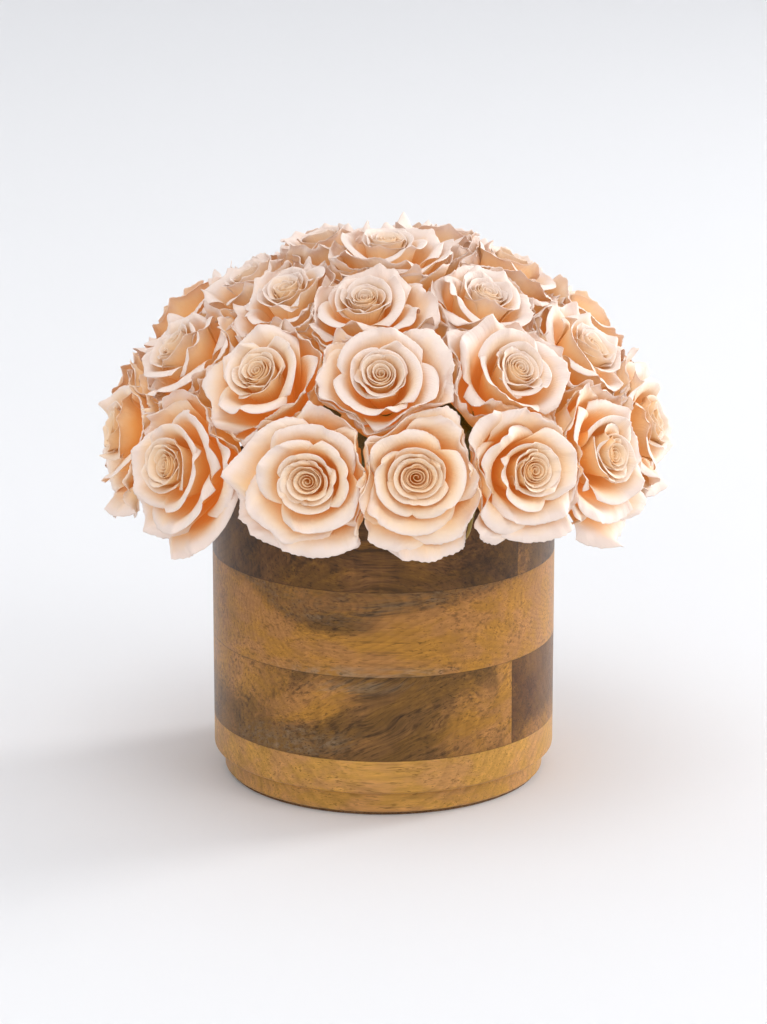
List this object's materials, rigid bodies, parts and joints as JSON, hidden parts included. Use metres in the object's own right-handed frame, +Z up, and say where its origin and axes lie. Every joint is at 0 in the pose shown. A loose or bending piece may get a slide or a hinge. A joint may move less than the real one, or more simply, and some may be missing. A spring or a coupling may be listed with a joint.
{
  "type": "rose arrangement in a wooden pot",
  "caption": "Round turned pot of stacked, glued wooden planks with a recessed foot, holding a lift-out liner with foam and a dome of preserved roses.",
  "frame": {"origin": "centre of the underside of the foot, on the pot's axis", "axes": "+Z up along the pot's axis; -Y is the front, with the side boards' joints on the +X side"},
  "size_m": [0.2703, 0.271, 0.2662],
  "materials": {
    "mango_wood": "satin lacquer",
    "cork": "matte",
    "liner_plastic": "matte",
    "anchor_plastic": "matte",
    "dry_foam": "matte",
    "pick_wood": "matte",
    "sepal": "matte",
    "petal": "velvety matte"
  },
  "bodies": {
    "pot": {"foot_pad": "cork", "base_plank": "mango_wood", "lower_plank": "mango_wood", "lower_side_board": "mango_wood", "middle_plank": "mango_wood", "upper_plank": "mango_wood", "upper_side_board": "mango_wood"},
    "insert": {"liner": "liner_plastic", "foam_anchor": "anchor_plastic", "foam_block": "dry_foam", "rose_picks": "pick_wood", "rose_calyxes": "sepal", "rose_01": "petal", "rose_02": "petal", "rose_03": "petal", "rose_04": "petal", "rose_05": "petal", "rose_06": "petal", "rose_07": "petal", "rose_08": "petal", "rose_09": "petal", "rose_10": "petal", "rose_11": "petal", "rose_12": "petal", "rose_13": "petal", "rose_14": "petal", "rose_15": "petal", "rose_16": "petal", "rose_17": "petal", "rose_18": "petal", "rose_19": "petal", "rose_20": "petal", "rose_21": "petal", "rose_22": "petal", "rose_23": "petal", "rose_24": "petal", "rose_25": "petal", "rose_26": "petal", "rose_27": "petal", "rose_28": "petal", "rose_29": "petal", "rose_30": "petal", "rose_31": "petal", "rose_32": "petal", "rose_33": "petal"}
  },
  "joints": [
    {"name": "insert_lift", "type": "slide", "parent": "pot", "child": "insert", "axis": [0, 0, 1], "range_m": [0, 0.14]}
  ]
}
